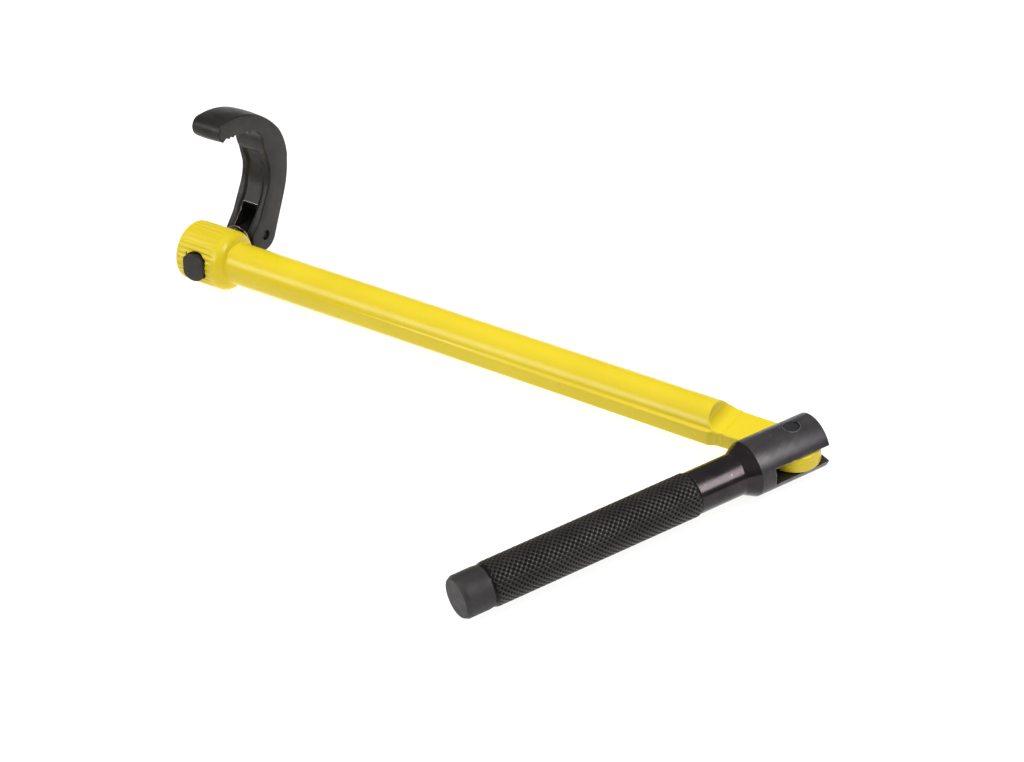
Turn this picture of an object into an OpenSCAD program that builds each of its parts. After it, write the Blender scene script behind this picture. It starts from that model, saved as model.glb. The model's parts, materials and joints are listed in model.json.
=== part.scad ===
// Basin wrench with a folding handle.
// A cast arm carries a ribbed head at one end and a flat tongue at the other. A spindle runs
// across the head and holds a hook jaw, which turns over with the spindle and swings on its own
// pin. The handle is one turned bar, forked over the tongue and held by a single pin.
// Frame: +X from the head towards the handle hinge, +Y towards the back of the jaw, +Z up.
// The origin is the middle of the underside of the box round the whole tool.

/* [Arm] */
// Distance from the handle pin to the spindle
arm_len = 230; // [180:1:300]
// Diameter of the round bar
bar_d = 14.9; // [13:0.1:17]
// Height of the bar's axis above the middle of the tongue
bar_rise = 0.5; // [0:0.1:0.8]
// Thickness of the tongue and of the fins that run into it
tongue_t = 5.6; // [4:0.1:5.8]
// Width of the tongue between the scoops and its eye
tongue_w = 13.8; // [12:0.1:14]
// Radius of the rounded eye at the tongue's end
eye_r = 8.3; // [7.5:0.1:8.8]
// Distance of the eye's centre beyond the pin
eye_shift = 1.3; // [0:0.1:2]
// Width across the fins beside the scoops
fin_w = 16.4; // [15:0.1:17]
// Width across the fins beside the head
fin_start_w = 13.6; // [12:0.1:14]
// Distance from the pin to the foot of the scoops
scoop_x = 22.3; // [20:0.1:26]
// Radius of the scoops
scoop_r = 4.9; // [4:0.1:6]

/* [Head] */
// Diameter over the ribs
head_d = 21.4; // [20:0.1:24]
// Distance from the spindle to the head's end face
head_front = 9.6; // [9:0.1:12]
// Distance from the spindle to the end of the ribs
head_back = 7.4; // [7:0.1:10]
// Rounding of the head's end
end_round = 2.5; // [1:0.1:3]
// Number of ribs round the head
rib_count = 36; // [24:1:48]
// Depth of the grooves between the ribs
rib_depth = 0.6; // [0.3:0.05:0.7]
// Angle of the spindle from square to the handle pin
head_clock = 7; // [0:1:12]

/* [Spindle] */
// Diameter of the shank in the head
shank_d = 8; // [7:0.1:8.4]
// Diameter of the button at the shank's front
button_d = 10.2; // [10:0.1:11]
// Width across the button's flats
button_flats = 8.4; // [8.2:0.1:8.8]
// Distance from the arm's axis to the button's face
button_reach = 12; // [11.8:0.1:13]
// Distance from the arm's axis to the seat under the button's neck
seat_depth = 7; // [6:0.1:8]
// Width of the flat end that the jaw straddles
blade_t = 6.2; // [5:0.1:6.4]
// Distance from the arm's axis to the jaw pin
jaw_reach = 22.3; // [21:0.1:25]
// Diameter of the jaw pin
jaw_pin_d = 3.9; // [3:0.1:4.4]
// Wire of the spindle spring
spring_wire = 1; // [0.8:0.1:1.1]
// Mean diameter of the spring
spring_d = 9.7; // [9.5:0.1:9.9]
// Thickness of the thrust washer
washer_t = 0.8; // [0.6:0.1:1]
// Diameter of the thrust washer
washer_d = 11; // [10.9:0.1:12]

/* [Jaw] */
// Width of the jaw
jaw_w = 12.5; // [11:0.1:14]
// Width of the slot between the ears
slot_w = 6.6; // [6.5:0.1:7]
// Number of teeth under the hook
tooth_count = 6; // [4:1:6]
// Spacing of the teeth
tooth_pitch = 2.3; // [2:0.1:2.4]
// Depth of the teeth
tooth_depth = 0.6; // [0.3:0.1:0.9]
// Depth of the channel down the inside of the shank
channel_depth = 0.8; // [0.4:0.1:1]
// Width of the channel
channel_w = 7.4; // [6.8:0.1:9]

/* [Handle] */
// Angle between handle and arm
fold_angle = 64.5; // [64:0.5:180]
// Distance from the handle pin to the grip's end
handle_len = 123; // [100:1:160]
// Diameter of the fork
fork_d = 18.4; // [18:0.1:20]
// Distance that the fork's ears reach past the pin
ear_over = 8.6; // [8:0.1:10]
// Distance from the pin to the bottom of the fork's slot
throat = 12.3; // [12.2:0.1:14]
// Width of the fork's slot
fork_slot = 6.3; // [6.2:0.1:7]
// Length of the fork's full cylinder beyond the pin
fork_len = 17.3; // [17:0.1:22]
// Diameter of the plain neck
neck_d = 13.9; // [13:0.1:14.4]
// Diameter over the knurling
grip_d = 14.6; // [14:0.1:16]
// Distance from the pin to the start of the knurling
knurl_start = 38.2; // [30:0.1:50]
// Length of the plain end beyond the knurling
plain_end = 9.8; // [6:0.1:14]
// Diameter of the handle pin
pin_d = 5.2; // [4:0.1:6]

/* [Hidden] */
$fn = 96;
big = 60;
bar_r = bar_d / 2;
head_r = head_d / 2;
fork_r = fork_d / 2;
neck_r = neck_d / 2;
grip_r = grip_d / 2;
end_r = neck_r + 0.1;
shoulder = head_r - bar_r;
end_chamfer = 1.4;
end_face_r = end_r - end_chamfer / 2;
running = 0.05;
play = 0.02;
spot_face = 9.6;
washer_face = 14.3;
handle_dir = 180 + fold_angle;
// The hook's outline is a chain of arcs in the spindle's frame: distance back from the arm's
// axis, then height over the spindle.
ear_r = 6;
foot_y = washer_face + 0.3;
foot_r = 2.5;
// How far the ears' upper corner stands back, so that it clears the spindle as the jaw closes.
heel_back = 0.25;
back_c = [4.5, 24.5];
back_r = 32;
shoulder_c = [13.8, 24.7];
shoulder_r = 23;
crown_at = 40;
crown_r = 36.4;
crown_c = shoulder_c + (shoulder_r - crown_r) * [cos(crown_at), sin(crown_at)];
nose_at = 92.2;
nose_r = 4;
nose_c = crown_c + (crown_r - nose_r) * [cos(nose_at), sin(nose_at)];
corner_c = [16.3, 36.2];
corner_r = 6.5;
inner_c = [9.8, 24];
inner_r = 16;
tooth_slope = -0.13;
first_tooth = [1.9, 45.3];
lip_z = 30.5;
// The box round the tool, which sets the origin.
x_low = -arm_len - head_front;
x_high = -ear_over * cos(handle_dir) - fork_r * sin(handle_dir);
y_low = handle_len * sin(handle_dir) + end_face_r * cos(handle_dir);
y_high = shoulder_c[0] * cos(head_clock) + shoulder_c[1] * sin(head_clock) + shoulder_r;
z_low = bar_rise - head_r;
origin = [(x_low + x_high) / 2, (y_low + y_high) / 2, z_low];

function arc(c, r, a0, a1, n) =
    [for (i = [0:n]) c + r * [cos(a0 + (a1 - a0) * i / n), sin(a0 + (a1 - a0) * i / n)]];

// From the pin-centred frame to the part's own frame.
module in_frame() {
    translate(-origin) children();
}

// Local frame of the spindle: X along the arm, Y back along the spindle, Z over it.
module at_head() {
    in_frame() translate([-arm_len, 0, bar_rise]) rotate([-head_clock, 0, 0]) children();
}

// Local frame of the handle: X from the pin to the grip's end.
module at_handle() {
    in_frame() rotate([0, 0, handle_dir]) children();
}

// A shape revolved about X, drawn as [radius, distance along X].
module turned() {
    rotate([0, 90, 0]) rotate_extrude() children();
}

// A cylinder along Y from y0 to y1.
module rod_y(d, y0, y1) {
    translate([0, y0, 0]) rotate([-90, 0, 0]) cylinder(d = d, h = y1 - y0);
}

// A cylinder along X, centred.
module rod_x(d, len) {
    rotate([0, 90, 0]) cylinder(d = d, h = len, center = true);
}

// An outline in the [Y, Z] plane made as thick as w along X.
module plate(w) {
    rotate([90, 0, 90]) linear_extrude(height = w, center = true) children();
}

// A round bar with two flats, along Y.
module double_d(d, flats, y0, y1) {
    intersection() {
        rod_y(d, y0, y1);
        translate([-flats / 2, y0, -d]) cube([flats, y1 - y0, 2 * d]);
    }
}

// ---- arm ----

module head_blank() {
    len = head_front + head_back + shoulder;
    translate([-arm_len - head_front, 0, bar_rise]) turned() {
        square([head_r - end_round, end_round + 1]);
        translate([head_r - end_round, end_round]) circle(end_round);
        translate([0, end_round]) square([head_r, len - end_round - shoulder]);
        translate([bar_r, len - shoulder]) circle(shoulder);
        square([bar_r, len]);
    }
}

// V grooves from beyond the end face to just short of the shoulder.
module rib_grooves() {
    half = PI * head_r / rib_count;
    for (i = [0:rib_count - 1])
        translate([-arm_len - head_front - 1, 0, bar_rise]) rotate([(i + 0.5) * 360 / rib_count, 0, 0])
            rotate([90, 0, 90]) linear_extrude(height = head_front + head_back + 0.5)
                polygon([[0, head_r - rib_depth], [half, head_r + 0.1], [-half, head_r + 0.1]]);
}

// What the scoops take off above the tongue.
module scoop() {
    foot = tongue_t / 2;
    rotate([90, 0, 0]) linear_extrude(height = big, center = true) {
        translate([-scoop_x, foot]) square([big, big]);
        translate([-scoop_x, foot + scoop_r]) circle(scoop_r);
        translate([-scoop_x - scoop_r, foot + scoop_r]) square([big, big]);
    }
}

module fin_outline() {
    half = [[-arm_len + head_back + shoulder, fin_start_w / 2], [-scoop_x - 3.7, fin_w / 2],
            [-scoop_x - 2.2, fin_w / 2 - 0.7], [-scoop_x - 0.2, tongue_w / 2], [0, tongue_w / 2]];
    polygon(concat(half, [for (i = [len(half) - 1:-1:0]) [half[i][0], -half[i][1]]]));
    intersection() {
        translate([eye_shift, 0]) circle(eye_r);
        translate([-eye_r, -eye_r]) square(2 * eye_r + eye_shift);
    }
}

module arm_body() color("gold") in_frame() {
    difference() {
        union() {
            difference() {
                head_blank();
                rib_grooves();
            }
            difference() {
                translate([-arm_len, 0, bar_rise]) rotate([0, 90, 0])
                    cylinder(r = bar_r, h = arm_len - scoop_x + 1.2);
                scoop();
                mirror([0, 0, 1]) scoop();
            }
            linear_extrude(height = tongue_t, center = true) fin_outline();
        }
        cylinder(d = pin_d + 2 * running + 0.02, h = big, center = true);
        translate([-arm_len, 0, bar_rise]) rotate([-head_clock, 0, 0]) {
            rod_y(shank_d + 2 * running, -big, big);
            double_d(button_d + 0.3, button_flats + 0.3, -big, -seat_depth);
            rod_y(washer_d + 0.6, spot_face, big);
            // The broach's run-out above one flat.
            translate([-button_flats / 2 - 0.2, -big, 0]) cube([0.5, big - 8, 4.4]);
        }
    }
}

// ---- spindle and what is on it ----

module jaw_spindle() color("dimgray") at_head() {
    neck_d = button_flats + 0.3 - 2 * running;
    blade_end = jaw_reach + 4.6;
    difference() {
        union() {
            double_d(button_d, button_flats, -button_reach, -head_r - 0.1);
            rod_y(neck_d, -head_r - 0.5, -seat_depth - running);
            rod_y(shank_d, -seat_depth - 0.5, washer_face + 0.1);
            intersection() {
                rod_y(shank_d, washer_face, blade_end);
                translate([-blade_t / 2, 0, -big]) cube([blade_t, big, 2 * big]);
                union() {
                    translate([0, jaw_reach, 0]) rod_x(9.2, 20);
                    translate([-10, 0, -10]) cube([20, jaw_reach, 20]);
                }
            }
        }
        translate([0, jaw_reach, 0]) rod_x(jaw_pin_d + 2 * running, 20);
    }
}

module thrust_washer() color("silver") at_head() {
    difference() {
        rod_y(washer_d, washer_face - washer_t, washer_face);
        rod_y(shank_d + 0.2, 0, washer_face + 1);
    }
}

// A helical spring round Y: rings of points joined into one closed skin.
module coil(wire_r, coil_r, y0, y1, turns, sides = 10, per_turn = 28) {
    steps = per_turn * turns;
    points = [for (i = [0:steps]) let (a = 360 * i / per_turn, y = y0 + (y1 - y0) * i / steps)
        for (j = [0:sides - 1]) let (b = 360 * j / sides, r = coil_r + wire_r * cos(b))
            [r * cos(a), y + wire_r * sin(b), r * sin(a)]];
    walls = [for (i = [0:steps - 1], j = [0:sides - 1]) let (k = (j + 1) % sides)
        [i * sides + j, (i + 1) * sides + j, (i + 1) * sides + k, i * sides + k]];
    start = [for (j = [0:sides - 1]) j];
    end = [for (j = [sides - 1:-1:0]) steps * sides + j];
    polyhedron(points, concat(walls, [start, end]), convexity = 6);
}

module spindle_spring() color("saddlebrown") at_head() {
    inset = running + spring_wire / 2;
    coil(spring_wire / 2, spring_d / 2, spot_face + inset, washer_face - washer_t - inset, 2.5);
}

// ---- jaw ----

// The inside of the shank, from the hook's corner down to the ears.
inner_face = concat([corner_c + [corner_r, 0]], arc(inner_c, inner_r, 4, -25, 10), [[19.2, 7.4]]);

module hook_outline() {
    teeth = [for (i = [0:tooth_count - 1]) each [
        first_tooth + [i * tooth_pitch, i * tooth_pitch * tooth_slope],
        first_tooth + [i * tooth_pitch + 0.8, i * tooth_pitch * tooth_slope + tooth_depth]]];
    polygon(concat(
        arc([jaw_reach, 0], ear_r, -90, -25, 8),
        arc(back_c, back_r, -23, 0, 8),
        arc(shoulder_c, shoulder_r, 4, crown_at, 10),
        arc(crown_c, crown_r, crown_at + 4, nose_at, 14),
        arc(nose_c, nose_r, nose_at + 15, 250, 12),
        teeth,
        arc(corner_c, corner_r, 97, 8, 10),
        inner_face,
        [[foot_y + heel_back, 2.2]],
        arc([foot_y + foot_r, -3.5], foot_r, 180, 270, 5)));
}

// The space between the ears: open at the front and below, closed behind by a web.
module ear_slot() {
    polygon([[0, -20], [big, -20], [big, 1.5], [27.2, 1.5], [26, 4.6], [23, 9.3], [22.5, 11.2],
             [0, 11.2]]);
    translate([jaw_reach, 0]) circle(5);
}

// The shallow channel between the lip under the teeth and the slot.
module channel() {
    run = [for (p = inner_face) if (p[1] < lip_z) p + [channel_depth, 0]];
    polygon(concat([[0, lip_z], [run[0][0], lip_z]], run, [[0, 7.4]]));
}

module hook_jaw() color("dimgray") at_head() {
    difference() {
        plate(jaw_w) hook_outline();
        plate(slot_w) ear_slot();
        plate(channel_w) channel();
        translate([0, jaw_reach, 0]) rod_x(jaw_pin_d + 2 * play, 20);
    }
}

module jaw_pin() color("dimgray") at_head() {
    translate([0, jaw_reach, 0]) rod_x(jaw_pin_d, jaw_w - 2);
}

// ---- handle ----

module handle_outline() {
    knurl_end = handle_len - plain_end;
    polygon([[0, -ear_over], [fork_r - 0.4, -ear_over], [fork_r, -ear_over + 0.4],
             [fork_r, fork_len], [neck_r + 0.4, fork_len + 3.4], [neck_r, fork_len + 4.4],
             [neck_r, knurl_start], [grip_r, knurl_start + 0.4],
             [grip_r, knurl_end], [end_r, knurl_end + 0.4],
             [end_r, handle_len - end_chamfer], [end_face_r, handle_len], [0, handle_len]]);
}

module handle_bar() color("#2b2a2c") at_handle() {
    difference() {
        turned() handle_outline();
        translate([-big, -big, -fork_slot / 2]) cube([big + throat, 2 * big, fork_slot]);
        cylinder(d = pin_d + 2 * play, h = big, center = true);
    }
}

module handle_pin() color("#35343a") at_handle() {
    half = fork_r - 0.45;
    rotate_extrude() polygon([[0, -half], [pin_d / 2 - 0.25, -half], [pin_d / 2, -half + 0.25],
                              [pin_d / 2, half - 0.25], [pin_d / 2 - 0.25, half], [0, half]]);
}

arm_body();
jaw_spindle();
spindle_spring();
thrust_washer();
hook_jaw();
jaw_pin();
handle_bar();
handle_pin();
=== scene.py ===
"""Basin wrench with a folding handle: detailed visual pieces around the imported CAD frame.

Lengths are in millimetres until a mesh is made, where its place matrix turns them into the
row's metres. The floor and the lights are in metres.
"""

import json
import math

import bmesh
import bpy
import numpy as np
from mathutils import Matrix, Vector

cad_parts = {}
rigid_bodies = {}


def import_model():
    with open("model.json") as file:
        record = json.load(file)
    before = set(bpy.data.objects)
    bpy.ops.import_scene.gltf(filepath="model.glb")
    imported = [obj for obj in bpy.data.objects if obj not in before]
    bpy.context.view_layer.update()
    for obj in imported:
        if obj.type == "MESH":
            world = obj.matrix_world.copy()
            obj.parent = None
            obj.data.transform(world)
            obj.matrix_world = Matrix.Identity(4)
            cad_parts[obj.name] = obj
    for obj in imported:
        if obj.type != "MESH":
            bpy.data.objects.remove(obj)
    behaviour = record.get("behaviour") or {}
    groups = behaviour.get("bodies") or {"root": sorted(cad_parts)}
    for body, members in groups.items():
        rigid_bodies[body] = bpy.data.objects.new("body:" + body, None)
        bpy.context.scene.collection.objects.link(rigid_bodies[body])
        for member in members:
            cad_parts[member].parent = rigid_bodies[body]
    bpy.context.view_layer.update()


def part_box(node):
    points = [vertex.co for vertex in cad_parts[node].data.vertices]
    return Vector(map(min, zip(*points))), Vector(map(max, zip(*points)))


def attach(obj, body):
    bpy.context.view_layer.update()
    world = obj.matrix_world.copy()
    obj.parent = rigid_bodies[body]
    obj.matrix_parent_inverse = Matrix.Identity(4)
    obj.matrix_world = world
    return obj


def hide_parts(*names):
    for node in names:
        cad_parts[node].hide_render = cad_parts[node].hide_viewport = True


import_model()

MM = 0.001

# ---- sizes shared with the CAD ----
ARM_LEN = 230.0
BAR_R = 7.45
BAR_RISE = 0.5
TONGUE_T = 5.6
EYE_R = 8.3
EYE_SHIFT = 1.3
SCOOP_X = 22.3
SCOOP_R = 4.9
FIN_X = (-219.4, -26.0)
FIN_HALF = (6.8, 8.2)
TONGUE_HALF = 6.9

HEAD_R = 10.7
HEAD_FRONT = 9.6
HEAD_BACK = 7.4
END_ROUND = 2.5
SHOULDER = HEAD_R - BAR_R
RIBS = 36
HEAD_CLOCK = math.radians(7)

SHANK_R = 4.0
BUTTON_R = 5.1
BUTTON_HALF = 4.2
BUTTON_REACH = 12.0
NECK_R = 4.3
SEAT = 7.0
SPOT_FACE = 9.6
WASHER_FACE = 14.3
WASHER_T = 0.8
WASHER_R = 5.5
BLADE_HALF = 3.1
JAW_REACH = 22.3
JAW_PIN_R = 1.95
SPRING_WIRE = 1.0
SPRING_R = 4.85

JAW_HALF = 6.25
JAW_SLOT_HALF = 3.3

FOLD = math.radians(64.5)
HANDLE_LEN = 123.0
FORK_R = 9.2
EAR_OVER = 8.6
THROAT = 12.3
FORK_SLOT = 6.3
FORK_LEN = 17.3
CONE_LEN = 4.4
HANDLE_NECK_R = 6.95
GRIP_R = 7.3
END_R = 7.05
KNURL_START = 38.2
KNURL_END = 113.2
END_CHAMFER = 1.4
HANDLE_PIN_R = 2.6

# How far the smooth skin stays inside the CAD's faceted arcs.
SKIN_INSET = 0.02
# How far a cutter reaches each way, past any surface.
CUT_REACH = 20

# ---- frames ----
pin_low, pin_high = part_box("handle_pin")
PIN = (pin_low + pin_high) / 2
ARM = Matrix.Translation(PIN) @ Matrix.Scale(MM, 4)
HEAD = ARM @ Matrix.Translation((-ARM_LEN, 0, BAR_RISE)) @ Matrix.Rotation(-HEAD_CLOCK, 4, "X")
BAR = ARM @ Matrix.Translation((0, 0, BAR_RISE))
JAW_PIN = HEAD @ Matrix.Translation((0, JAW_REACH, 0))
HANDLE = ARM @ Matrix.Rotation(math.pi + FOLD, 4, "Z")


# ---- mesh helpers ----
def make_object(name, points, faces, place):
    """A mesh object from local points in millimetres, put into the row frame."""
    mesh = bpy.data.meshes.new(name)
    mesh.from_pydata([place @ Vector(p) for p in points], [], faces)
    mesh.update()
    body = bmesh.new()
    body.from_mesh(mesh)
    bmesh.ops.recalc_face_normals(body, faces=body.faces)
    body.to_mesh(mesh)
    body.free()
    obj = bpy.data.objects.new(name, mesh)
    bpy.context.scene.collection.objects.link(obj)
    return obj


def tube(rings, capped=True):
    """Points and faces of a skin through rings, an array indexed [ring, point, xyz]."""
    count, around, _ = rings.shape
    last = count - 1 if capped else count
    i, j = np.meshgrid(np.arange(last), np.arange(around), indexing="ij")
    after, beside = (i + 1) % count * around, (j + 1) % around
    quads = np.stack([i * around + j, after + j, after + beside, i * around + beside], -1)
    faces = quads.reshape(-1, 4).tolist()
    if capped:
        faces.append(list(range(around)))
        faces.append(list(range((count - 1) * around, count * around)))
    return rings.reshape(-1, 3), faces


def turned(profile, around, axis="X"):
    """Rings of a shape turned about an axis, from (distance along it, radius) pairs."""
    angle = np.linspace(0, 2 * math.pi, around, endpoint=False)
    along, radius = np.array(profile, float).T[:, :, None]
    flat = np.ones_like(angle)
    parts = {"X": (along * flat, radius * np.cos(angle), radius * np.sin(angle))}
    parts["Y"] = (parts["X"][1], parts["X"][0], parts["X"][2])
    parts["Z"] = (parts["X"][1], parts["X"][2], parts["X"][0])
    return np.stack(parts[axis], -1)


def eased(points, radii, steps=6):
    """A polyline with an arc of the given radius at each inner corner (0 leaves it sharp)."""
    out = [tuple(points[0])]
    for before, corner, after, radius in zip(points, points[1:], points[2:], radii):
        p, a, b = (np.array(q, float) for q in (corner, before, after))
        u, v = (a - p) / np.linalg.norm(a - p), (b - p) / np.linalg.norm(b - p)
        half = math.acos(max(-1, min(1, float(u @ v)))) / 2
        if radius <= 0 or half > math.radians(89):
            out.append(tuple(p))
            continue
        centre = p + (u + v) / np.linalg.norm(u + v) * radius / math.sin(half)
        start, end = p + u * radius / math.tan(half), p + v * radius / math.tan(half)
        for t in np.linspace(0, 1, steps + 1):
            q = start + (end - start) * t - centre
            out.append(tuple(centre + q / np.linalg.norm(q) * radius))
    out.append(tuple(points[-1]))
    return out


def arc(centre, radius, start, end, steps):
    """Points of an arc, angles in degrees."""
    angles = np.radians(np.linspace(start, end, steps + 1))
    return [(centre[0] + radius * math.cos(a), centre[1] + radius * math.sin(a)) for a in angles]


def cut(obj, points, faces, place):
    """Takes a closed local mesh away from the object."""
    cutter = make_object("cutter", points, faces, place)
    modifier = obj.modifiers.new("cut", "BOOLEAN")
    modifier.operation = "DIFFERENCE"
    modifier.solver = "EXACT"
    modifier.object = cutter
    graph = bpy.context.evaluated_depsgraph_get()
    graph.update()
    mesh = bpy.data.meshes.new_from_object(obj.evaluated_get(graph))
    obj.modifiers.clear()
    old, obj.data = obj.data, mesh
    bpy.data.meshes.remove(old)
    bpy.data.objects.remove(cutter)


def block(low, high):
    """Points and faces of a box between two corners."""
    along_x, along_y, along_z = zip(low, high)
    corners = [(x, y, z) for x in along_x for y in along_y for z in along_z]
    faces = [(0, 1, 3, 2), (4, 6, 7, 5), (0, 4, 5, 1), (2, 3, 7, 6), (0, 2, 6, 4), (1, 5, 7, 3)]
    return corners, faces


def drill(radius, axis, around=64):
    """Points and faces of a round bar long enough to cut right through any piece."""
    return tube(turned([(-CUT_REACH, radius), (CUT_REACH, radius)], around, axis))


def plate(outline, half):
    """Points and faces of an outline in the spindle's [Y, Z] plane, made thick along X."""
    rings = np.array([[(x, y, z) for y, z in outline] for x in (-half, half)])
    return tube(rings)


def finish_piece(obj, body, node, materials, smooth_angle=32):
    """Shades the piece smooth, gives it its materials and hands it to the frame."""
    for polygon in obj.data.polygons:
        polygon.use_smooth = True
    obj.data.set_sharp_from_angle(angle=math.radians(smooth_angle))
    for material in materials:
        obj.data.materials.append(material)
    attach(obj, body)
    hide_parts(node)
    return obj


# ---- distances to rounded shapes, negative inside ----
def smooth_step(value, start, end):
    """0 before the start and 1 past the end, with an even S between."""
    t = np.clip((value - start) / (end - start), 0, 1)
    return t * t * (3 - 2 * t)


def both(a, b, radius):
    """The space in a and in b, with its edge rounded."""
    corner = np.hypot(np.maximum(a + radius, 0), np.maximum(b + radius, 0))
    return np.minimum(-radius, np.maximum(a, b)) + corner


def either(a, b, radius):
    """The space in a or in b, with a fillet where they meet."""
    corner = np.hypot(np.maximum(radius - a, 0), np.maximum(radius - b, 0))
    return np.maximum(radius, np.minimum(a, b)) - corner


def surface_radius(distance, along, angle, reach):
    """How far out from the axis the shape's surface lies, found by halving."""
    low, high = np.zeros_like(angle), np.full_like(angle, reach)
    for _ in range(26):
        middle = (low + high) / 2
        inside = distance(along, middle * np.cos(angle), middle * np.sin(angle)) < 0
        low, high = np.where(inside, middle, low), np.where(inside, high, middle)
    return low


# ---- arm ----
# The ribs fade out over a short length before the head's rear corner.
RIB_DEPTH = 0.3
RIB_STOP = 0.5
RIB_FADE = 1.2
RIM_ROUND = 0.45
SLAB_ROUND = 0.6
EYE_FILLET = 2.0
FIN_FILLET = 0.5
SHOULDER_FILLET = 0.6
# Where the fins step in to the tongue, and where the bar's flanks do.
FIN_STEP = (-26.2, -22.6)
BAR_STEP = (-25.0, -21.5)
BAR_FLANK = 8.0
# How far the bar runs on past the scoop's foot, inside the tongue.
BAR_PAST_SCOOP = 1.2
# The parting line round the eye, a fine groove.
SEAM_DEPTH = 0.12
SEAM_Z = 0.7
SEAM_HALF = 0.3
# Clearances round the spindle, and a nick beside the button's flat, between two corners.
BUTTON_GAP = 0.15
SHANK_GAP = 0.05
SPOT_GAP = 0.3
NICK = (-BUTTON_HALF - 0.2, -20, 1), (-BUTTON_HALF + 0.3, -8, 4.4)


def arm_distance(x, y, z):
    """Distance to the arm. x runs from the pin, y and z are from the bar's axis."""
    height = np.abs(z + BAR_RISE)
    radius = np.hypot(y, z)
    dx, dz = x + SCOOP_X, height - TONGUE_T / 2 - SCOOP_R
    hollow = np.where(dz > 0, dx + SCOOP_R, SCOOP_R - np.hypot(dx, dz))
    scoop = np.where(dx > 0, height - TONGUE_T / 2, hollow)
    bar = both(radius - BAR_R, scoop, RIM_ROUND)
    flank = BAR_FLANK + (TONGUE_HALF - BAR_FLANK) * smooth_step(x, *BAR_STEP)
    bar = np.maximum(bar, np.abs(y) - flank)
    bar = np.maximum(bar, np.maximum(-ARM_LEN - x, x + SCOOP_X - BAR_PAST_SCOOP))
    half = np.interp(x, FIN_X, FIN_HALF)
    half = half + (TONGUE_HALF - half) * smooth_step(x, *FIN_STEP)
    sides = np.maximum(np.abs(y) - half, x - EYE_SHIFT)
    seam = SEAM_DEPTH * np.exp(-((z + BAR_RISE - SEAM_Z) / SEAM_HALF) ** 2)
    eye = np.hypot(x - EYE_SHIFT, y) - EYE_R + seam
    slab = both(either(sides, eye, EYE_FILLET), height - TONGUE_T / 2, SLAB_ROUND)
    front, back = -ARM_LEN - HEAD_FRONT + SKIN_INSET, -ARM_LEN + HEAD_BACK + SHOULDER
    corner = np.where(x < (front + back) / 2, END_ROUND, SHOULDER)
    past_end = np.abs(x - (front + back) / 2) - (back - front) / 2 + corner
    past_side = radius - HEAD_R + corner
    outside = np.hypot(np.maximum(past_end, 0), np.maximum(past_side, 0))
    head = np.minimum(np.maximum(past_end, past_side), 0) + outside - corner
    return either(either(bar, slab, FIN_FILLET), head, SHOULDER_FILLET)


def arm_stations():
    """Where along the arm its sections lie, closest where the shape changes fastest."""
    front, back = -ARM_LEN - HEAD_FRONT + SKIN_INSET, -ARM_LEN + HEAD_BACK
    foot = back + SHOULDER
    scoop_start, scoop_end, eye_start = -30, -19, -5
    quarter = np.linspace(0, math.pi / 2, 13)
    pieces = [
        front + END_ROUND * (1 - np.cos(quarter)),
        np.linspace(front + END_ROUND, back, 14),
        back + SHOULDER * np.sin(quarter),
        np.linspace(foot, foot + 1, 9),
        np.linspace(foot + 1, scoop_start, 80),
        np.linspace(scoop_start, scoop_end, 100),
        np.linspace(scoop_end, eye_start, 16),
        np.linspace(eye_start, EYE_SHIFT, 18),
        EYE_SHIFT + EYE_R * np.sin(np.linspace(0, math.radians(87), 44)),
    ]
    return np.unique(np.round(np.concatenate(pieces), 4))


def bore_rings():
    """The button's flatted recess, the round bore and the washer's spot face, along the spindle."""
    turn = np.linspace(0, 2 * math.pi, 96, endpoint=False)
    half, radius = BUTTON_HALF + BUTTON_GAP, BUTTON_R + BUTTON_GAP
    recess = np.minimum(radius, half / np.maximum(np.abs(np.cos(turn)), 0.01))
    bore, spot = SHANK_R + SHANK_GAP, WASHER_R + SPOT_GAP
    rings = []
    for along, size in (
        (-CUT_REACH, recess), (-SEAT, recess), (-SEAT, bore),
        (SPOT_FACE, bore), (SPOT_FACE, spot), (CUT_REACH, spot),
    ):
        size = size * np.ones_like(turn)
        rings.append(np.stack([size * np.cos(turn), along + 0 * turn, size * np.sin(turn)], -1))
    return np.array(rings)


def build_arm():
    """The painted casting, ribbed round the head, with its bore, its nick and its pin hole."""
    around = RIBS * 10
    x = arm_stations()[:, None]
    turn = np.linspace(0, 2 * math.pi, around, endpoint=False)[None, :]
    head_end = -ARM_LEN + HEAD_BACK
    # Even steps round the ribs, and closer steps beside the fins.
    on_bar = np.clip((x - head_end) / 12, 0, 1)
    angle = turn - 0.3 * on_bar * np.sin(2 * turn)
    radius = surface_radius(arm_distance, x, angle, HEAD_R + 2)
    groove = (1 - np.cos(turn * RIBS)) / 2
    fade = np.clip((head_end - RIB_STOP - x) / RIB_FADE, 0, 1)
    ribbed = np.minimum(radius, HEAD_R - RIB_DEPTH * groove)
    radius = radius + (ribbed - radius) * fade
    rings = np.stack([x + 0 * angle, radius * np.cos(angle), radius * np.sin(angle)], -1)
    arm = make_object("arm", *tube(rings), BAR)
    cut(arm, *tube(bore_rings()), HEAD)
    cut(arm, *block(*NICK), HEAD)
    cut(arm, *drill(HANDLE_PIN_R + 0.06, "Z"), ARM)
    return arm


# ---- spindle and what is on it ----
BUTTON_T = 1.2
BUTTON_BACK = -BUTTON_REACH + BUTTON_T
BUTTON_EDGE = 0.25
FLAT_EDGE = 0.6
BLADE_TIP_R = 4.6
BLADE_EDGE = 0.3
# How far the neck stops short of its seat, and how far the shank runs on into the blade.
SEAT_GAP = 0.05
SHANK_OVER = 0.1


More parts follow.
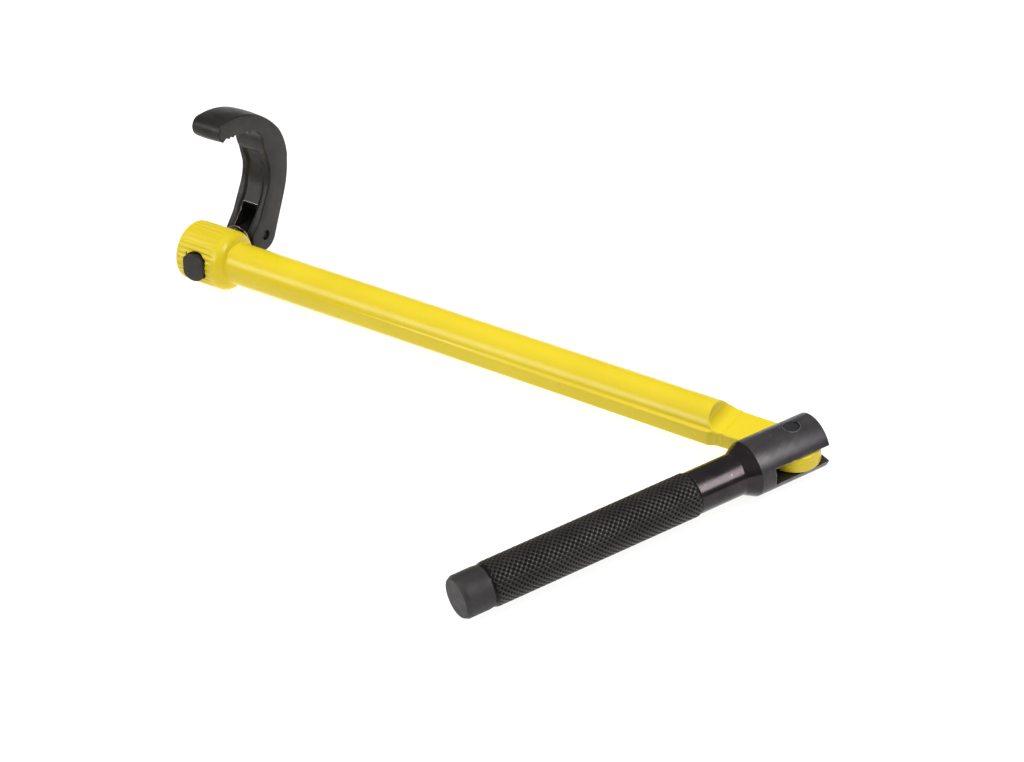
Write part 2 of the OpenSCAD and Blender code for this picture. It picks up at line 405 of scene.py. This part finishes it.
def spindle_distance(s, x, z):
    """Distance to the spindle. s runs along it towards the jaw, x and z are across it."""
    radius = np.hypot(x, z)
    face = both(radius - BUTTON_R, np.abs(x) - BUTTON_HALF, FLAT_EDGE)
    button = both(face, np.abs(s - BUTTON_BACK + BUTTON_T / 2) - BUTTON_T / 2, BUTTON_EDGE)
    neck = np.maximum(radius - NECK_R, np.maximum(BUTTON_BACK - 0.4 - s, s + SEAT + SEAT_GAP))
    shank = np.maximum(radius - SHANK_R, np.maximum(-SEAT - 0.5 - s, s - WASHER_FACE - SHANK_OVER))
    sides = both(radius - SHANK_R, np.abs(x) - BLADE_HALF, 0.2)
    across = np.where(s > JAW_REACH, np.hypot(s - JAW_REACH, z), np.abs(z))
    blade = np.maximum(both(sides, across - BLADE_TIP_R, BLADE_EDGE), WASHER_FACE - s)
    return np.minimum(np.minimum(button, neck), np.minimum(shank, blade))


def build_spindle():
    """Button, neck, shank and blade as one skin, with a section on each side of every step."""
    steps = (BUTTON_BACK, -SEAT - SEAT_GAP, WASHER_FACE + SHANK_OVER)
    s = np.concatenate([
        -BUTTON_REACH + BUTTON_EDGE * (1 - np.cos(np.linspace(0, math.pi / 2, 6))),
        np.linspace(-BUTTON_REACH + 0.4, BUTTON_BACK - 0.002, 8),
        [v + d for v in steps for d in (-0.001, 0.001)],
        np.linspace(BUTTON_BACK + 0.3, WASHER_FACE, 12),
        np.linspace(WASHER_FACE + 0.2, JAW_REACH, 12),
        JAW_REACH + BLADE_TIP_R * np.sin(np.linspace(0.05, math.radians(84), 22)),
    ])
    s = np.unique(np.round(s, 4))[:, None]
    angle = np.linspace(0, 2 * math.pi, 144, endpoint=False)[None, :] + 0 * s
    radius = surface_radius(spindle_distance, s, angle, 8.0)
    rings = np.stack([radius * np.cos(angle), s + 0 * angle, radius * np.sin(angle)], -1)
    spindle = make_object("spindle", *tube(rings), HEAD)
    cut(spindle, *drill(JAW_PIN_R + 0.05, "X", 48), JAW_PIN)
    return spindle


def build_washer():
    """A flat ring with rounded outer edges."""
    inner, outer, edge = SHANK_R + 0.1, WASHER_R, 0.28
    back, front = WASHER_FACE - WASHER_T, WASHER_FACE
    loop = [(back, inner), (back, outer), (front, outer), (front, inner)]
    corners = loop[-1:] + loop + loop[:1]
    profile = eased(corners, [0.1, edge, edge, 0.1])[1:-1]
    return make_object("washer", *tube(turned(profile, 96, "Y"), capped=False), HEAD)


def build_spring():
    """A short spring between the spot face and the washer."""
    wire, turns, sides, per_turn = SPRING_WIRE / 2, 2.5, 16, 64
    start = SPOT_FACE + 0.05 + wire
    rise = WASHER_FACE - WASHER_T - 0.05 - wire - start
    t = np.linspace(0, 1, int(per_turn * turns) + 1)[:, None]
    # The wire's cut ends are slightly rounded.
    taper = np.minimum(1, np.sqrt(np.minimum(t, 1 - t) * 90 + 0.35))
    lead = 2 * math.pi * turns * t
    ring = np.linspace(0, 2 * math.pi, sides, endpoint=False)[None, :]
    radius = SPRING_R + wire * taper * np.cos(ring)
    along = start + rise * t + wire * taper * np.sin(ring)
    rings = np.stack([radius * np.cos(lead), along, radius * np.sin(lead)], -1)
    return make_object("spring", *tube(rings), HEAD)


# ---- jaw ----
EAR_R = 6.0
# The front of the ears' foot and the radius under it, then how far back and how high the relief
# above it is.
FOOT = (WASHER_FACE + 0.3, 2.5, 0.25, 2.2)
# The hook's arcs, each with its centre and its radius, and the angle where the shoulder's arc
# hands over to the crown's. The nose has the angle where it takes over from the crown.
BACK = ((4.5, 24.5), 32.0)
SHOULDER_ARC = ((13.8, 24.7), 23.0, 40)
CROWN_R = 36.4
NOSE = (92.2, 4.0)
CORNER = ((16.3, 36.2), 6.5)
INNER = ((9.8, 24.0), 16.0)
# Where the inside of the shank runs out, above the ears.
INNER_FOOT = (19.2, 7.4)
TEETH = 6
TOOTH_PITCH = 2.3
TOOTH_DEPTH = 0.6
TOOTH_FLANK = 0.8
TOOTH_SLOPE = -0.13
FIRST_TOOTH = (1.9, 45.3)
# The cast channel down the hook's inside, whose walls wander a little, as the casting does.
CHANNEL_HALF = 3.7
CHANNEL_DEPTH = 0.8
CHANNEL_WALL = 0.7
CHANNEL_FOOT = 7.4
CHANNEL_WANDER = 0.3
WANDER_PER_MM = 0.55
# The lip where the channel starts, and the web that fills the hook's corner above it.
LIP_Z = 31.3
WEB = 0.3
WEB_FADE = (43.5, 39.5)
# The slot between the ears, as seen from the side: its upper end is the window.
SLOT = [(0, -20), (60, -20), (60, 1.5), (27.2, 1.5), (26, 4.6), (23, 9.3), (22.5, 11.2), (0, 11.2)]
SLOT_END_R = 5.0


def inner_face():
    """The inside of the shank, from the hook's corner down to the ears."""
    corner = (CORNER[0][0] + CORNER[1], CORNER[0][1])
    run = [corner] + arc(*INNER, 4, -25, 60) + [INNER_FOOT]
    steps = [(run[0], run[1], 20), (run[-2], run[-1], 12)]
    top, foot = ([(a[0] + (b[0] - a[0]) * i / n, a[1] + (b[1] - a[1]) * i / n) for i in range(n)]
                 for a, b, n in steps)
    return top + run[1:-2] + foot + [run[-1]]


def jaw_outline():
    """Points round the hook. Each has its near and far edge radius, how much the hook's width is
    crowned there, and 1 on the inside of the hook."""
    foot_y, foot_r, heel, heel_z = FOOT
    centre, radius, at = SHOULDER_ARC
    lean = np.array([math.cos(math.radians(at)), math.sin(math.radians(at))])
    crown = np.array(centre) + (radius - CROWN_R) * lean
    nose_at, nose_r = NOSE
    lean = np.array([math.cos(math.radians(nose_at)), math.sin(math.radians(nose_at))])
    nose = crown + (CROWN_R - nose_r) * lean
    teeth = []
    for i in range(TEETH):
        y, z = FIRST_TOOTH[0] + i * TOOTH_PITCH, FIRST_TOOTH[1] + i * TOOTH_PITCH * TOOTH_SLOPE
        teeth += [(y, z), (y + TOOTH_FLANK, z + TOOTH_DEPTH)]
    parts = [
        (arc((JAW_REACH, 0), EAR_R, -90, -25, 16), 0.5, 0.5, 0.0, 0),
        (arc(*BACK, -23, 0, 14), 0.7, 0.8, 0.0, 0),
        (arc(centre, radius, 4, at, 18), 0.7, 1.0, 0.15, 0),
        (arc(crown, CROWN_R, at + 2, nose_at, 30), 0.5, 1.3, 0.4, 0),
        (arc(nose, nose_r, nose_at + 8, 250, 22), 0.5, 1.3, 0.35, 0),
        (teeth, 0.2, 0.3, 0.0, 0),
        (arc(*CORNER, 97, 8, 18), 0.5, 0.5, 0.0, 1),
        (inner_face(), 0.6, 0.6, 0.0, 1),
        ([(foot_y + heel, heel_z)], 0.3, 0.3, 0.0, 0),
        (arc((foot_y + foot_r, foot_r - EAR_R), foot_r, 180, 270, 9), 0.4, 0.4, 0.0, 0),
    ]
    points = [p for part in parts for p in part[0]]
    edges = np.array([part[1:] for part in parts for _ in part[0]])
    # Even out how the rounding changes from one stretch to the next.
    for _ in range(4):
        even = (np.roll(edges, 1, 0) + edges * 2 + np.roll(edges, -1, 0)) / 4
        edges[:, :3] = even[:, :3]
    return np.array(points), edges


def jaw_skin():
    """The hook as layers across its width, with rounded sides and a channel down its inside."""
    points, edges = jaw_outline()
    near, far, crown, inside = edges.T
    along = np.roll(points, -1, 0) - np.roll(points, 1, 0)
    outward = np.stack([along[:, 1], -along[:, 0]], -1)
    outward /= np.linalg.norm(outward, axis=1)[:, None]
    height = points[:, 1]
    channel = CHANNEL_DEPTH * inside
    channel = channel * smooth_step(height, LIP_Z + 0.4, LIP_Z - 1.2)
    channel = channel * smooth_step(height, CHANNEL_FOOT - 0.6, CHANNEL_FOOT + 0.6)
    web = WEB * inside * smooth_step(height, LIP_Z, LIP_Z + 2.0) * smooth_step(height, *WEB_FADE)
    bend = np.linspace(0, math.pi / 2, 7)
    layers = [(-JAW_HALF + far * (1 - math.cos(a)), far * (1 - math.sin(a))) for a in bend]
    start, end = -JAW_HALF + far, JAW_HALF - near
    layers += [(start + (end - start) * t, 0 * near) for t in np.linspace(0, 1, 36)[1:-1]]
    layers += [(JAW_HALF - near * (1 - math.cos(a)), near * (1 - math.sin(a))) for a in bend[::-1]]
    rings = []
    for side, inset in layers:
        wall = CHANNEL_HALF + CHANNEL_WANDER * np.sin(height * WANDER_PER_MM) * np.sign(side)
        bed = smooth_step(np.abs(side), wall + CHANNEL_WALL, wall - CHANNEL_WALL)
        inset = inset + SKIN_INSET + crown * (side / JAW_HALF) ** 2 + channel * bed - web
        rings.append(np.concatenate([side[:, None], points - outward * inset[:, None]], 1))
    return np.array(rings)


def build_jaw():
    """The hook, with the slot that makes its two ears and the hole for its pin."""
    jaw = make_object("jaw", *tube(jaw_skin()), HEAD)
    cut(jaw, *plate(SLOT, JAW_SLOT_HALF), HEAD)
    cut(jaw, *plate(arc((JAW_REACH, 0), SLOT_END_R, 0, 355, 71), JAW_SLOT_HALF), HEAD)
    cut(jaw, *drill(JAW_PIN_R + 0.02, "X"), JAW_PIN)
    return jaw


def build_pin(name, radius, half, axis, place, edge=0.25):
    """A pin with rounded ends, centred on its frame."""
    profile = [(-half, 0.05), (-half, radius), (half, radius), (half, 0.05)]
    return make_object(name, *tube(turned(eased(profile, [edge, edge]), 64, axis)), place)


# ---- handle ----
# Ridges of each family round the bar, and rings along the bar to each of them.
KNURL_COUNT = 24
KNURL_STEPS = 10
KNURL_DEPTH = 0.45
# Where the first ring lies past the neck, and how long the ridges take to rise at each end.
KNURL_LEAD = 0.4
KNURL_RISE = (0.6, 1.8)
# The share of a ridge's width that slopes. The rest is its flat top.
RIDGE_FOOT = 0.85
# Points round the fork: on each side where the slot is, and on each crown.
SIDE_STEPS, CROWN_STEPS = 14, 46
FORK_EDGE = 0.45


def fork_angles():
    """Angles round the bar, with points exactly where the slot's faces meet it."""
    side = math.asin(FORK_SLOT / 2 / FORK_R)
    stops = [(-side, side, SIDE_STEPS), (side, math.pi - side, CROWN_STEPS),
             (math.pi - side, math.pi + side, SIDE_STEPS),
             (math.pi + side, 2 * math.pi - side, CROWN_STEPS)]
    return np.concatenate([np.linspace(a, b, n, endpoint=False) for a, b, n in stops])


def grip_radius(along, angle):
    """Radius of the knurled length: two crossing families of ridges with pits between them."""
    pitch = 2 * math.pi * GRIP_R / KNURL_COUNT
    lap = angle * KNURL_COUNT / (2 * math.pi)
    families = [np.abs(np.mod(lap + sign * along / pitch, 1) * 2 - 1) for sign in (1, -1)]
    lead_in = (along - KNURL_START - KNURL_LEAD) / KNURL_RISE[0]
    lead_out = (KNURL_END - along) / KNURL_RISE[1]
    fade = np.clip(min(lead_in, lead_out), 0, 1)
    ridge = np.minimum(np.maximum(*families) / RIDGE_FOOT, 1)
    return GRIP_R - KNURL_DEPTH * (1 - fade * ridge)


class Skin:
    """Points and faces of the handle, gathered ring by ring along its axis."""

    def __init__(self):
        self.points = []
        self.faces = []

    def ring(self, along, radius, angles):
        """Adds a ring of points and gives back their numbers."""
        first = len(self.points)
        for a, r in zip(angles, np.broadcast_to(radius, angles.shape)):
            self.points.append((along, r * math.cos(a), r * math.sin(a)))
        return list(range(first, len(self.points)))

    def join(self, rings):
        """Quads between each ring and the next. Where the next has twice the points, triangles."""
        for ring, following in zip(rings, rings[1:]):
            n, step = len(ring), len(following) // len(ring)
            for i in range(n):
                j, k, k2 = (i + 1) % n, i * step, (i + 1) % n * step
                if step == 1:
                    self.faces.append((ring[i], ring[j], following[k2], following[k]))
                else:
                    middle = following[k + 1]
                    self.faces.append((ring[i], middle, following[k]))
                    self.faces.append((ring[i], ring[j], middle))
                    self.faces.append((ring[j], following[k2], middle))


def add_ears(skin, throat):
    """The fork's two ears, from the throat's ring to their rounded ends, and the slot's floor."""
    half = SIDE_STEPS + CROWN_STEPS
    for first in (SIDE_STEPS, half + SIDE_STEPS):
        last = first + CROWN_STEPS
        ear = throat[first:last] + [throat[last % len(throat)]]
        for turn in np.linspace(0, math.pi / 2, 6):
            along = -EAR_OVER + SKIN_INSET + FORK_EDGE * (1 - math.sin(turn))
            radius = FORK_R - FORK_EDGE * (1 - math.cos(turn))
            side = math.asin(FORK_SLOT / 2 / radius)
            start = side + (math.pi if first > half else 0)
            crown = np.linspace(start, start + math.pi - 2 * side, CROWN_STEPS + 1)
            end = skin.ring(along, radius, crown)
            skin.faces.extend((end[i], end[i + 1], ear[i + 1], ear[i]) for i in range(CROWN_STEPS))
            skin.faces.append((end[0], ear[0], ear[-1], end[-1]))
            ear = end
        skin.faces.append(tuple(ear))
    skin.faces.append(tuple(throat[:SIDE_STEPS + 1] + throat[half:half + SIDE_STEPS + 1]))


def add_grip(skin, neck, start):
    """The knurled length and the plain end, from the neck's last ring on, with twice its points."""
    count = 2 * len(neck)
    angle = start + 2 * math.pi * np.arange(count) / count
    rings = [neck, skin.ring(KNURL_START + 0.01, HANDLE_NECK_R, angle)]
    step = 2 * math.pi * GRIP_R / KNURL_COUNT / KNURL_STEPS
    for along in np.arange(KNURL_START + KNURL_LEAD, KNURL_END, step):
        rings.append(skin.ring(along, grip_radius(along, angle), angle))
    end = [(KNURL_END, GRIP_R - KNURL_DEPTH), (KNURL_END + 1.5, END_R),
           (HANDLE_LEN - END_CHAMFER, END_R), (HANDLE_LEN, END_R - END_CHAMFER / 2),
           (HANDLE_LEN, 0.2)]
    for along, radius in eased(end, [2.0, 1.0, 0.5]):
        rings.append(skin.ring(along, radius, angle))
    skin.join(rings)
    skin.faces.append(tuple(rings[-1]))


def build_handle():
    """One skin: two ears, the round bar from the throat on, then the knurled grip."""
    angle = fork_angles()
    even = angle[0] + 2 * math.pi * np.arange(len(angle)) / len(angle)
    outline = [(THROAT, FORK_R), (FORK_LEN, FORK_R), (FORK_LEN + CONE_LEN, HANDLE_NECK_R),
               (KNURL_START, HANDLE_NECK_R)]
    skin = Skin()
    rings = []
    for along, radius in eased(outline, [0.5, 2.0]):
        # The points even out round the bar over a short length behind the fork.
        blend = min(1, max(0, (along - FORK_LEN) / 5))
        rings.append(skin.ring(along, radius, angle + (even - angle) * blend))
    skin.join(rings)
    add_ears(skin, rings[0])
    add_grip(skin, rings[-1], even[0])
    handle = make_object("handle", skin.points, skin.faces, HANDLE)
    cut(handle, *drill(HANDLE_PIN_R + 0.1, "Z"), HANDLE)
    return handle


# ---- materials ----
WORN_STEEL = (0.42, 0.4, 0.37, 1)


class Shader:
    """A Principled material with helpers for its node network."""

    def __init__(self, name, **inputs):
        self.material = bpy.data.materials.new(name)
        self.material.use_nodes = True
        self.tree = self.material.node_tree
        self.bsdf = next(n for n in self.tree.nodes if n.type == "BSDF_PRINCIPLED")
        for key, value in inputs.items():
            self.bsdf.inputs[key.replace("_", " ")].default_value = value
        self.coordinates = self.node("TexCoord").outputs["Object"]

    def node(self, kind, **inputs):
        node = self.tree.nodes.new("ShaderNode" + kind)
        for key, value in inputs.items():
            self.put(node.inputs[key.replace("_", " ")], value)
        return node

    def put(self, socket, value):
        if isinstance(value, bpy.types.NodeSocket):
            self.tree.links.new(value, socket)
        else:
            socket.default_value = value

    def noise(self, size, detail=3.0, rough=0.55):
        """Noise with features of about the given size in millimetres."""
        node = self.node("TexNoise", Vector=self.coordinates, Scale=1 / (size * MM))
        node.inputs["Detail"].default_value = detail
        node.inputs["Roughness"].default_value = rough
        return node.outputs["Fac"]

    def turning_marks(self, size):
        """Noise drawn out round the handle's axis, as a lathe leaves it, size along the axis."""
        along = self.node("Mapping", Vector=self.coordinates)
        along.inputs["Rotation"].default_value[2] = -FOLD
        along.inputs["Scale"].default_value = (1, 0.12, 0.12)
        node = self.node("TexNoise", Vector=along.outputs["Vector"], Scale=1 / (size * MM))
        node.inputs["Detail"].default_value = 3
        return node.outputs["Fac"]

    def span(self, value, low, high, to_low=0.0, to_high=1.0):
        """A value between low and high spread over a new range, and held at its ends."""
        node = self.node("MapRange", Value=value)
        limits = {"From Min": low, "From Max": high, "To Min": to_low, "To Max": to_high}
        for key, number in limits.items():
            node.inputs[key].default_value = number
        return node.outputs["Result"]

    def math(self, operation, a, b):
        node = self.node("Math")
        node.operation = operation
        self.put(node.inputs[0], a)
        self.put(node.inputs[1], b)
        return node.outputs[0]

    def mix(self, factor, a, b):
        node = self.node("Mix")
        node.data_type = "RGBA"
        self.put(node.inputs["Factor"], factor)
        self.put(node.inputs[6], a)
        self.put(node.inputs[7], b)
        return node.outputs[2]

    def edges(self, width, low, high):
        """1 along sharp edges within a width in millimetres, 0 elsewhere. low and high are the
        cosines of the turn from the true surface that count as wholly worn and not worn."""
        bevel = self.node("Bevel", Radius=width * MM)
        bevel.samples = 4
        dot = self.node("VectorMath")
        dot.operation = "DOT_PRODUCT"
        self.put(dot.inputs[0], bevel.outputs["Normal"])
        self.put(dot.inputs[1], self.node("NewGeometry").outputs["Normal"])
        return self.span(dot.outputs["Value"], high, low)

    def colour(self, value):
        self.put(self.bsdf.inputs["Base Color"], value)

    def roughness(self, value):
        self.put(self.bsdf.inputs["Roughness"], value)

    def bump(self, height, depth, strength=1.0):
        """Surface relief of the given depth in millimetres."""
        node = self.node("Bump", Height=height)
        node.inputs["Distance"].default_value = depth * MM
        node.inputs["Strength"].default_value = strength
        self.put(self.bsdf.inputs["Normal"], node.outputs["Normal"])


def yellow_enamel():
    """Glossy yellow paint over a casting, with broad colour drift and a few dark specks."""
    s = Shader("yellow_enamel", Specular_IOR_Level=0.2, Coat_Weight=0.2, Coat_Roughness=0.2)
    broad = s.span(s.noise(28), 0.3, 0.7)
    paint = s.mix(broad, (0.70, 0.535, 0.010, 1), (0.74, 0.575, 0.014, 1))
    specks = s.span(s.noise(0.9, 2), 0.8, 0.84)
    s.colour(s.mix(s.math("MULTIPLY", specks, 0.12), paint, (0.45, 0.3, 0.02, 1)))
    s.roughness(s.span(s.noise(6), 0.3, 0.7, 0.26, 0.38))
    s.bump(s.math("ADD", s.noise(1.6, 2), s.math("MULTIPLY", s.noise(7, 2), 2)), 0.012)
    return s.material


def black_oxide(name, light, dark, rough, grain=0.02, wear=0.0, metallic=0.5, marked=False,
                pits=None):
    """Blackened steel between two tints, with rare bright specks. Its edges may be rubbed bright.
    It may have lathe marks, and a darker colour in a knurl's pits, which is painted shade."""
    s = Shader(name, Metallic=metallic, Specular_IOR_Level=0.2)
    bloom = s.mix(s.span(s.noise(9), 0.35, 0.65), dark, light)
    specks = s.span(s.noise(0.5, 1), 0.78, 0.82)
    if marked:
        bloom = s.mix(s.span(s.turning_marks(1.2), 0.3, 0.7), bloom, dark)
    # The knurl's pits are painted darker: painted shade in the recesses.
    if pits:
        depth = s.node("Attribute")
        depth.attribute_name = "pit"
        bloom = s.mix(s.span(depth.outputs["Fac"], 0.1, 0.6), bloom, pits)
    if wear:
        patches = s.span(s.noise(0.7), 0.38, 0.52, 0, wear)
        rubbed = s.math("MULTIPLY", s.edges(0.45, 0.8, 0.97), patches)
        specks = s.math("MAXIMUM", specks, rubbed)
    s.colour(s.mix(specks, bloom, WORN_STEEL))
    s.roughness(s.span(s.noise(3), 0.3, 0.7, rough - 0.05, rough + 0.06))
    s.bump(s.noise(0.35, 3), grain)
    return s.material


def bare_steel(name, light, dark, rough):
    """Bright steel with brown staining and a fine grain."""
    s = Shader(name, Metallic=1.0)
    stain = s.span(s.noise(1.6), 0.4, 0.65)
    s.colour(s.mix(stain, light, dark))
    s.roughness(s.span(s.noise(1.0), 0.3, 0.7, rough - 0.06, rough + 0.08))
    s.bump(s.noise(0.2, 2), 0.01)
    return s.material


enamel = yellow_enamel()
fork_black = black_oxide(
    "fork_black", (0.075, 0.07, 0.071, 1), (0.048, 0.045, 0.048, 1), 0.36, wear=0.8, marked=True)
neck_black = black_oxide(
    "neck_black", (0.05, 0.041, 0.044, 1), (0.034, 0.029, 0.032, 1), 0.2, 0.006, metallic=0.85)
# Its pits get a much darker colour, painted shade.
knurl_black = black_oxide(
    "knurl_black", (0.05, 0.046, 0.043, 1), (0.034, 0.031, 0.03, 1), 0.3, 0.004,
    pits=(0.009, 0.008, 0.008, 1))
end_black = black_oxide(
    "end_black", (0.055, 0.052, 0.051, 1), (0.036, 0.034, 0.034, 1), 0.55)
cast_tints = (0.034, 0.031, 0.028, 1), (0.02, 0.019, 0.018, 1)
cast_black = black_oxide("cast_black", *cast_tints, 0.4, 0.05, wear=0.15)
slot_black = black_oxide("slot_black", *cast_tints, 0.4, 0.05, wear=0.95)
# A much darker black for the spindle from the arm's axis on: painted shade, for the shadow inside
# the jaw's window.
blade_painted_shade = black_oxide(
    "blade_painted_shade", (0.014, 0.013, 0.013, 1), (0.008, 0.008, 0.008, 1), 0.5)
button_black = black_oxide(
    "button_black", (0.042, 0.039, 0.035, 1), (0.03, 0.028, 0.026, 1), 0.5, 0.04, wear=0.4)
pin_black = black_oxide(
    "pin_black", (0.05, 0.05, 0.055, 1), (0.03, 0.03, 0.034, 1), 0.35, 0.03, wear=0.5)
washer_steel = bare_steel("washer_steel", (0.4, 0.36, 0.31, 1), (0.14, 0.09, 0.05, 1), 0.25)
spring_steel = bare_steel("spring_steel", (0.26, 0.19, 0.13, 1), (0.07, 0.04, 0.02, 1), 0.3)


def paint_by_place(obj, place, pick):
    """Gives each face the material whose number pick returns for its centre in a local frame."""
    to_local = place.inverted()
    for polygon in obj.data.polygons:
        polygon.material_index = int(pick(*(to_local @ polygon.center)))


def is_behind_button(x, s, z):
    """The spindle takes a darker black, painted shade, from the arm's axis on to its blade."""
    return s > 0


def is_window_edge(x, s, z):
    """The edges of the slot's window, under the channel, are the ones rubbed bright."""
    return abs(x) < JAW_SLOT_HALF + 0.9 and s < JAW_REACH + 2 and 4 < z < 12.5


def handle_zone(along, y, z):
    """0 on the fork, 1 on the neck, 2 on the knurl and 3 on the plain end."""
    return sum(along > limit for limit in (FORK_LEN, KNURL_START, KNURL_END))


def mark_pits(obj):
    """Stores how deep in the knurl each point lies, from 0 on a ridge to 1 in a pit, which sets the
    painted shade in the pits.
    """
    to_handle = HANDLE.inverted()
    pit = obj.data.attributes.new("pit", "FLOAT", "POINT")
    for vertex in obj.data.vertices:
        along, y, z = to_handle @ vertex.co
        knurled = KNURL_START + 0.3 < along < KNURL_END
        pit.data[vertex.index].value = knurled * max(0, GRIP_R - math.hypot(y, z)) / KNURL_DEPTH


# ---- pieces ----
finish_piece(build_arm(), "arm", "arm_body", [enamel], 50)
spindle = build_spindle()
finish_piece(spindle, "spindle", "jaw_spindle", [button_black, blade_painted_shade])
# Past the arm's axis the spindle gets the darker black of painted shade.
paint_by_place(spindle, HEAD, is_behind_button)
finish_piece(build_washer(), "spindle", "thrust_washer", [washer_steel])
finish_piece(build_spring(), "spindle", "spindle_spring", [spring_steel])
jaw = build_jaw()
finish_piece(jaw, "jaw", "hook_jaw", [cast_black, slot_black])
paint_by_place(jaw, HEAD, is_window_edge)
jaw_pin = build_pin("jaw_pin_visual", JAW_PIN_R, JAW_HALF - 1, "X", JAW_PIN)
finish_piece(jaw_pin, "jaw", "jaw_pin", [pin_black])
handle_pin = build_pin("handle_pin_visual", HANDLE_PIN_R, FORK_R - 0.45, "Z", HANDLE)
finish_piece(handle_pin, "handle", "handle_pin", [pin_black])
handle = build_handle()
handle_blacks = [fork_black, neck_black, knurl_black, end_black]
finish_piece(handle, "handle", "handle_bar", handle_blacks)
paint_by_place(handle, HANDLE, handle_zone)
mark_pits(handle)

# ---- floor and light ----
floor_mesh, floor_faces = block((-3, -3, -0.02), (3, 3, 0))
floor = make_object("floor", floor_mesh, floor_faces, Matrix.Identity(4))
paper = Shader("paper", Roughness=0.9)
paper.colour(paper.mix(paper.noise(400), (0.93, 0.93, 0.93, 1), (0.95, 0.95, 0.95, 1)))
floor.data.materials.append(paper.material)


def studio_world():
    """A grey ceiling over a darker horizon, which gives dark bands on the steel."""
    world = bpy.data.worlds.new("studio")
    world.use_nodes = True
    nodes, links = world.node_tree.nodes, world.node_tree.links
    direction = nodes.new("ShaderNodeTexCoord")
    split = nodes.new("ShaderNodeSeparateXYZ")
    spread = nodes.new("ShaderNodeMapRange")
    spread.interpolation_type = "SMOOTHSTEP"
    for key, value in (("From Min", 0.1), ("From Max", 0.6), ("To Min", 0.12), ("To Max", 0.4)):
        spread.inputs[key].default_value = value
    links.new(direction.outputs["Generated"], split.inputs[0])
    links.new(split.outputs["Z"], spread.inputs["Value"])
    links.new(spread.outputs["Result"], nodes["Background"].inputs["Strength"])
    nodes["Background"].inputs["Color"].default_value = (1, 1, 1, 1)
    bpy.context.scene.world = world


def softbox(name, place, size, watts):
    """A rectangular light aimed at the tool."""
    light = bpy.data.lights.new(name, "AREA")
    light.shape = "RECTANGLE"
    light.size, light.size_y = size
    light.energy = watts
    obj = bpy.data.objects.new(name, light)
    bpy.context.scene.collection.objects.link(obj)
    obj.location = place
    obj.rotation_euler = (-Vector(place)).to_track_quat("-Z", "Y").to_euler()
    return obj


studio_world()
on_tool = bpy.data.collections.new("on_tool")
on_floor = bpy.data.collections.new("on_floor")
on_floor.objects.link(floor)
for obj in bpy.context.scene.objects:
    if obj.type == "MESH" and obj != floor:
        on_tool.objects.link(obj)
right_box = softbox("right_box", (0.8, 0.08, 0.75), (0.34, 0.8), 8)
left_box = softbox("left_box", (-0.5, -0.86, 0.56), (0.9, 0.4), 8)
# The two boxes are only mirrored. Even light from above, itself not mirrored, does the lighting.
top_light = softbox("top_light", (0, 0, 2.0), (3, 3), 66)
top_light.visible_glossy = False
for light in (right_box, left_box):
    light.visible_diffuse = False
for light in (right_box, left_box, top_light):
    light.light_linking.receiver_collection = on_tool
# The paper has its own light, so that it comes out white with hardly a shadow.
paper_light = softbox("paper_light", (0, 0, 2.0), (3, 3), 75)
paper_light.light_linking.receiver_collection = on_floor
paper_light.data.use_shadow = False
paper_light.visible_glossy = False

# ---- camera ----
AZIMUTH, ELEVATION, ROLL = (math.radians(v) for v in (35.182, 36.543, 4.027))
# The camera's place in the arm's frame, in millimetres.
EYE = (325.74, -611.57, 543.79)
SENSOR = 36
LENS = 97.92


def add_camera():
    """A level camera turned to its azimuth and elevation, then rolled about its line of sight."""
    right = Vector((math.cos(AZIMUTH), math.sin(AZIMUTH), 0))
    away = Vector((math.sin(AZIMUTH), -math.cos(AZIMUTH), 0))
    back = away * math.cos(ELEVATION) + Vector((0, 0, math.sin(ELEVATION)))
    up = back.cross(right)
    rolled_right = right * math.cos(ROLL) - up * math.sin(ROLL)
    rolled_up = right * math.sin(ROLL) + up * math.cos(ROLL)
    data = bpy.data.cameras.new("camera")
    data.sensor_width = SENSOR
    data.lens = LENS
    data.clip_start = 0.01
    data.clip_end = 50
    camera = bpy.data.objects.new("camera", data)
    bpy.context.scene.collection.objects.link(camera)
    axes = Matrix((rolled_right, rolled_up, back)).transposed().to_4x4()
    camera.matrix_world = Matrix.Translation(ARM @ Vector(EYE)) @ axes
    bpy.context.scene.camera = camera


add_camera()
bpy.context.scene.view_settings.view_transform = "Standard"
